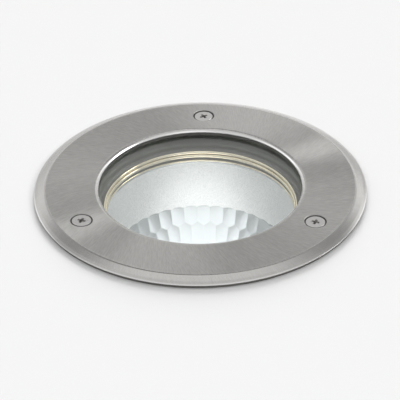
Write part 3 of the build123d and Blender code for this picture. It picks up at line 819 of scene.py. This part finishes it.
def brushed(name, dark, light, roughness, anisotropy):
    """Steel with strokes from the brushing group, which also stretch its highlights across them."""
    material, tree, shader = plain_material(name)
    marks = grouped(tree, brushing, {})
    tone = node(tree, "Math", {0: marks["Bands"], 1: 0.25, 2: marks["Strokes"]}, operation="MULTIPLY_ADD")
    strokes = spread(tree, tone, 0.4, 0.85)
    faint_strokes = spread(tree, tone, 0.4, 0.85, 0.4, 0.7)
    gloss_ends = (roughness - stroke_gloss, roughness + stroke_gloss)
    gloss = spread(tree, marks["Strokes"], *mottle_range, *gloss_ends)
    on_face = spread(tree, marks["Radius"], lip_slope_r * MM, lip_face_r * MM)
    on_bevel = spread(tree, marks["Radius"], *((crease_r - reach) * MM for reach in bevel_reach))
    colour = mixed(tree, spread(tree, on_bevel, 0.0, 1.0, strokes, faint_strokes), dark, light)
    on_rim = spread(tree, marks["Radius"], *((trim_r - reach) * MM for reach in rim_polish_reach))
    polish_end, polish_full = (opening_r + share * polish_width for share in (1.0, 0.6))
    on_edge = spread(tree, marks["Radius"], polish_end * MM, polish_full * MM)
    polished = node(tree, "Math", {0: on_edge, 1: on_rim}, operation="ADD")
    colour = mixed(tree, polished, colour, polish_colour)
    gloss = mixed(tree, on_bevel, mixed(tree, on_face, bevel_roughness, gloss), bevel_roughness)
    gloss = mixed(tree, polished, gloss, polish_roughness)
    relief = node(tree, "Math", {0: marks["Strokes"], 1: on_face}, operation="MULTIPLY")
    lift = node(tree, "Bump", {"Height": relief, "Distance": stroke_relief * MM})
    round_axis = node(tree, "Tangent", {}, direction_type="RADIAL", axis="Z")
    feed(
        tree,
        shader,
        {
            "Base Color": colour,
            "Roughness": gloss,
            "Normal": lift,
            "Metallic": 1.0,
            "Anisotropic": anisotropy,
            "Anisotropic Rotation": stroke_swirl / (2 * math.pi),
            "Tangent": round_axis,
        },
    )
    return material


brushed_steel = brushed("brushed_steel", (0.5, 0.49, 0.475), (0.72, 0.71, 0.69), 0.45, 1.0)
trim_faces = drilled_face(lip_face_r, crease_r - crease_flat, plate_top, sink_r + sink_edge)
trim_faces += drilled_face(opening_r + lip_chamfer, trim_r - rim_flat, plate_bottom, sink_low_r)
piece(
    "trim_ring_plate",
    [*trim_faces, turned(rim_outline), turned(lip_outline), *sinks],
    brushed_steel,
    "trim",
    "brushed_steel",
    "trim_ring",
)

# Trim screws: three stainless countersunk screws with a cross recess, driven to just below the plate.
# Each one sits in a conical rubber seal, which lines its hole up to the plate's edge.
SCREW_NAMES = ("back", "left", "right")
SCREW_STEPS = 192
FACE_RINGS = 60
THREAD_ROWS = 8
screw_low, screw_high = (np.array(corner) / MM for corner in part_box("trim_screw_back"))
head_r = (screw_high[0] - screw_low[0]) / 2
head_sinks = (0.6, 0.2, 0.45)
head_rim = 0.3
head_break = 0.1
screw_r = 3.0
screw_tip = screw_low[2]
tip_chamfer = 0.7
thread_pitch = 1.0
thread_depth = 0.5
thread_gap = 1.0
recess_turns = np.radians([33.0, -22.0, -23.0])
recess_reach = 2.5
recess_half = 0.75
recess_depth = 2.7
recess_walls = (0.25, 0.8)
seal_gap = 0.07
seal_inset = 0.05
seal_skin = 0.02
seal_foot = plate_bottom + 0.1


def crossed():
    """The face of a screw's head, at height 0, with a cross recess.

    The recess is as deep as the nearer of two walls allows: one leans in from the sides of each arm, the
    other rises gently to the arm's end, and the floor between them is flat.
    """
    turn = np.linspace(0, 2 * np.pi, SCREW_STEPS + 1)[:, None]
    face = polar(np.linspace(0, head_r - head_break, FACE_RINGS), turn, 0.0)
    along = np.abs(face[..., :2]).max(axis=-1)
    across = np.abs(face[..., :2]).min(axis=-1)
    side_wall = (recess_half - across) / recess_walls[0]
    end_wall = (recess_reach - along) / recess_walls[1]
    face[..., 2] = -recess_depth * np.clip(np.minimum(side_wall, end_wall), 0, 1)
    return face


def threaded(low, high):
    """A screw's thread: the radius falls and rises once per pitch along a line that climbs as it turns."""
    turn = np.linspace(0, 2 * np.pi, SCREW_STEPS + 1)[:, None]
    row = thread_pitch / THREAD_ROWS
    height = np.arange(low, high, row)
    wave = np.abs((height / thread_pitch - turn / (2 * np.pi)) % 1 * 2 - 1)
    run_out = np.clip(np.minimum(height - low, high - row - height) / thread_pitch, 0, 1)
    return polar(screw_r - thread_depth * wave * run_out, turn, height)


screw_steel = grained("screw_steel", (0.58, 0.57, 0.558), (0.7, 0.69, 0.675), 0.32, 0.35, 0.004, Metallic=1.0)
seal_cones = []
for name, place, sink, recess_turn in zip(SCREW_NAMES, screw_places, head_sinks, recess_turns):
    head_top = plate_top - sink
    cone_top = head_top - head_rim
    cone_low = cone_top - (head_r - screw_r)
    thread = threaded(screw_tip + tip_chamfer, cone_low - thread_gap)
    head = [
        (head_r - head_break, head_top),
        (head_r, head_top - head_break),
        (head_r, cone_top),
        (screw_r, cone_low),
        (screw_r, thread[0, -1, 2]),
    ]
    tip = [(screw_r, screw_tip + tip_chamfer), (screw_r - tip_chamfer, screw_tip), (0, screw_tip)]
    grids = [
        crossed() + (0, 0, head_top),
        turned(head, steps=SCREW_STEPS),
        thread,
        turned(tip, steps=SCREW_STEPS),
    ]
    spin_x, spin_y = math.cos(recess_turn), math.sin(recess_turn)
    spin = np.array([[spin_x, spin_y], [-spin_y, spin_x]])
    for grid in grids:
        grid[..., :2] = grid[..., :2] @ spin + place
    piece(f"screw_{name}_threaded", grids, screw_steel, f"screw_{name}", "screw_steel", f"trim_screw_{name}")
    seal_cone = [
        (head_r + seal_gap, head_top - seal_inset),
        (head_r + seal_gap, cone_top),
        (head_r + seal_gap - (cone_top - seal_foot), seal_foot),
        (sink_low_r + seal_foot - plate_bottom - seal_gap, seal_foot),
        (sink_r - seal_gap, sink_height),
        (sink_r - seal_skin, plate_top - sink_edge - seal_inset),
    ]
    seal_cones.append(turned(seal_cone, place, HOLE_STEPS, closed=True))
piece("screw_seal_cones", seal_cones, rubber, "trim", "black_rubber", "screw_seals")

# Ground: a pale floor with the hole that the body stands in, hidden under the ring.
# It is seen from above only, so that the buried body shows in views from below.
floor_hole_r = 91.0
floor_r = 2500.0
FLOOR_RINGS = 30
floor_greys = (0.815, 0.82)
floor_rings = np.geomspace(floor_hole_r, floor_r, FLOOR_RINGS)
pale, tree, shader = plain_material("pale_floor")
marks = grouped(tree, grain, {"Size": 2.0})
tint = mixed(tree, marks["Mottle"], *floor_greys)
feed(tree, shader, {"Base Color": tint, "Roughness": 1.0, "Specular IOR Level": 0.0})
from_below = node(tree, "NewGeometry", {}).node.outputs["Backfacing"]
unseen = node(tree, "BsdfTransparent", {})
one_sided = node(tree, "MixShader", {0: from_below, 1: shader.outputs[0], 2: unseen})
feed(tree, tree.nodes["Material Output"], {"Surface": one_sided})
floor_outline = np.stack([floor_rings, np.zeros_like(floor_rings)], axis=1)
floor = piece("floor", [turned(floor_outline)], pale, None, None)

# Light: a white studio tent, dark low down on the camera's side. At the back a dark gap lies between its
# wall, which has a bright band, and the panel overhead. Softboxes stand at the right and, dimmer, at the left
# and in front. A broad lamp far behind gives the ring its shadow on the ground, but steel doesn't mirror it.
wall_low_light = 0.7
wall_light = 0.56
wall_heights = (0.0, 0.5)
band_light = 0.5
band_height = 0.44
band_reach = (0.054, 0.18)
gap_light = 0.27
panel_light = 1.14
gap_heights = (0.57, 0.64, 0.8, 0.97)
front_low_light = 0.1
front_light = 0.7
front_heights = (0.1, 0.6)
behind_reach = (0.0, 0.5)
below_light = 0.6
below_heights = (-0.05, 0.0)
softboxes = ((10.7, 32.8, 14.2, 3.9), (174.2, 21.6, 32.7, 0.35), (285.0, 52.0, 22.0, 0.3))
world = bpy.data.worlds.new("studio")
world.use_nodes = True
bpy.context.scene.world = world
tree = world.node_tree
sky_place = tree.nodes.new("ShaderNodeTexCoord").outputs["Generated"]
sky = node(tree, "SeparateXYZ", {"Vector": sky_place}).node.outputs
smooth = {"interpolation_type": "SMOOTHSTEP"}
wall = spread(tree, sky["Z"], *wall_heights, wall_low_light, wall_light, **smooth)
from_band = node(tree, "Math", {0: sky["Z"], 1: band_height}, operation="SUBTRACT")
from_band = node(tree, "Math", {0: from_band}, operation="ABSOLUTE")
band = spread(tree, from_band, *band_reach, band_light, 0.0, **smooth)
wall = node(tree, "Math", {0: wall, 1: band}, operation="ADD")
in_gap = spread(tree, sky["Z"], *gap_heights[:2], **smooth)
above_gap = spread(tree, sky["Z"], *gap_heights[2:], gap_light, panel_light, **smooth)
back_light = spread(tree, in_gap, 0.0, 1.0, wall, above_gap)
front_part = spread(tree, sky["Z"], *front_heights, front_low_light, front_light, **smooth)
behind = spread(tree, sky["Y"], *behind_reach, **smooth)
tent_light = spread(tree, behind, 0.0, 1.0, front_part, back_light)
for box_turn, elevation, half_width, box_light in softboxes:
    aim = polar(math.cos(math.radians(elevation)), math.radians(box_turn), math.sin(math.radians(elevation)))
    towards = node(tree, "VectorMath", {0: sky_place, 1: aim}, operation="DOT_PRODUCT").node.outputs["Value"]
    box_edge, box_core = (math.cos(math.radians(share * half_width)) for share in (1.0, 0.6))
    softbox = spread(tree, towards, box_edge, box_core, 0.0, box_light, **smooth)
    tent_light = node(tree, "Math", {0: tent_light, 1: softbox}, operation="ADD")
above = spread(tree, sky["Z"], *below_heights, **smooth)
sky_light = spread(tree, above, 0.0, 1.0, below_light, tent_light)
feed(tree, tree.nodes["Background"], {"Color": (1.0, 1.0, 1.0, 1.0), "Strength": sky_light})
lamp_elevation = math.radians(19)
lamp_data = bpy.data.lights.new("back_lamp", "SUN")
lamp_data.energy = 3.5
lamp_data.angle = math.radians(30)
back_lamp = bpy.data.objects.new("back_lamp", lamp_data)
back_lamp.visible_glossy = False
back_lamp.visible_transmission = False
back_lamp.rotation_mode = "QUATERNION"
to_lamp = Vector((0, math.cos(lamp_elevation), math.sin(lamp_elevation)))
back_lamp.rotation_quaternion = to_lamp.to_track_quat("Z", "Y")
bpy.context.collection.objects.link(back_lamp)

# Camera: a long lens that looks down at the middle of the ring, set by the photo's ellipses.
# Its shift puts that middle where the photo has it.
camera_elevation = math.radians(33.242)
camera_turn = math.radians(2.1)
camera_roll = math.radians(-0.915)
camera_distance = 1182.8
ring_place = (200.2, 184.7)
picture_size = 400
camera_data = bpy.data.cameras.new("camera")
camera_data.sensor_width = 36.0
camera_data.lens = 177.0
camera_data.shift_x = (picture_size / 2 - ring_place[0]) / picture_size
camera_data.shift_y = (ring_place[1] - picture_size / 2) / picture_size
camera = bpy.data.objects.new("camera", camera_data)
bpy.context.collection.objects.link(camera)
towards_camera = Vector(
    (
        math.sin(camera_turn) * math.cos(camera_elevation),
        -math.cos(camera_turn) * math.cos(camera_elevation),
        math.sin(camera_elevation),
    )
)
camera.location = Vector((0, 0, trim_top * MM)) + camera_distance * MM * towards_camera
camera.rotation_mode = "QUATERNION"
camera.rotation_quaternion = towards_camera.to_track_quat("Z", "Y") @ Quaternion((0, 0, 1), camera_roll)
bpy.context.scene.camera = camera
bpy.context.scene.view_settings.view_transform = "Standard"
